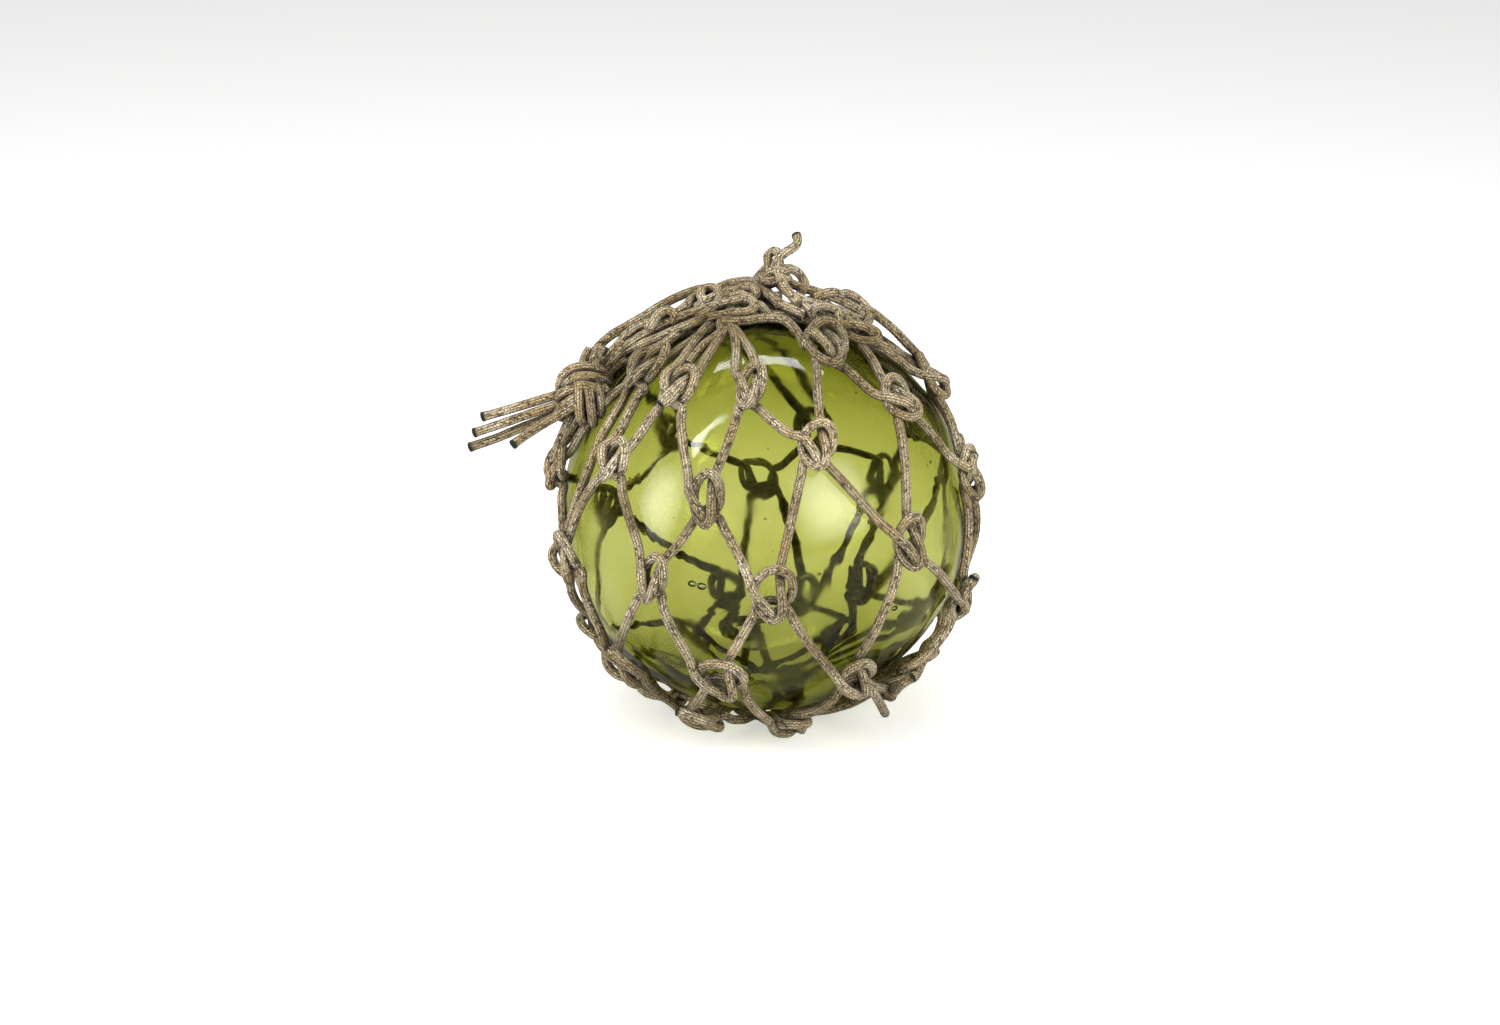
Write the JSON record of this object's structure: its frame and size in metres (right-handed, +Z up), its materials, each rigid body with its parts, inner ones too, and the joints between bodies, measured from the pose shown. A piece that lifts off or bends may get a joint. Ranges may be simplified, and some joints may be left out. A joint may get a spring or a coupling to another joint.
{
  "type": "glass float ball",
  "caption": "Round hollow glass fishing float held in a knotted cord net, with a tangle of cord at the top and frayed cord ends tied on one shoulder.",
  "frame": {"origin": "middle of the underside of the ball in its net, on the surface it stands on; the free ends are left out of that middle", "axes": "+Z up, through the crown of the net; -Y is the front; the free ends leave towards -X"},
  "size_m": [0.2566, 0.2238, 0.2342],
  "materials": {
    "glass": "polished olive glass",
    "cord": "weathered braided cord"
  },
  "bodies": {
    "root": {"glass_ball": "glass", "net": "cord", "foot_cord": "cord", "tail_1": "cord", "tail_2": "cord", "tail_3": "cord", "tail_4": "cord"}
  },
  "joints": []
}
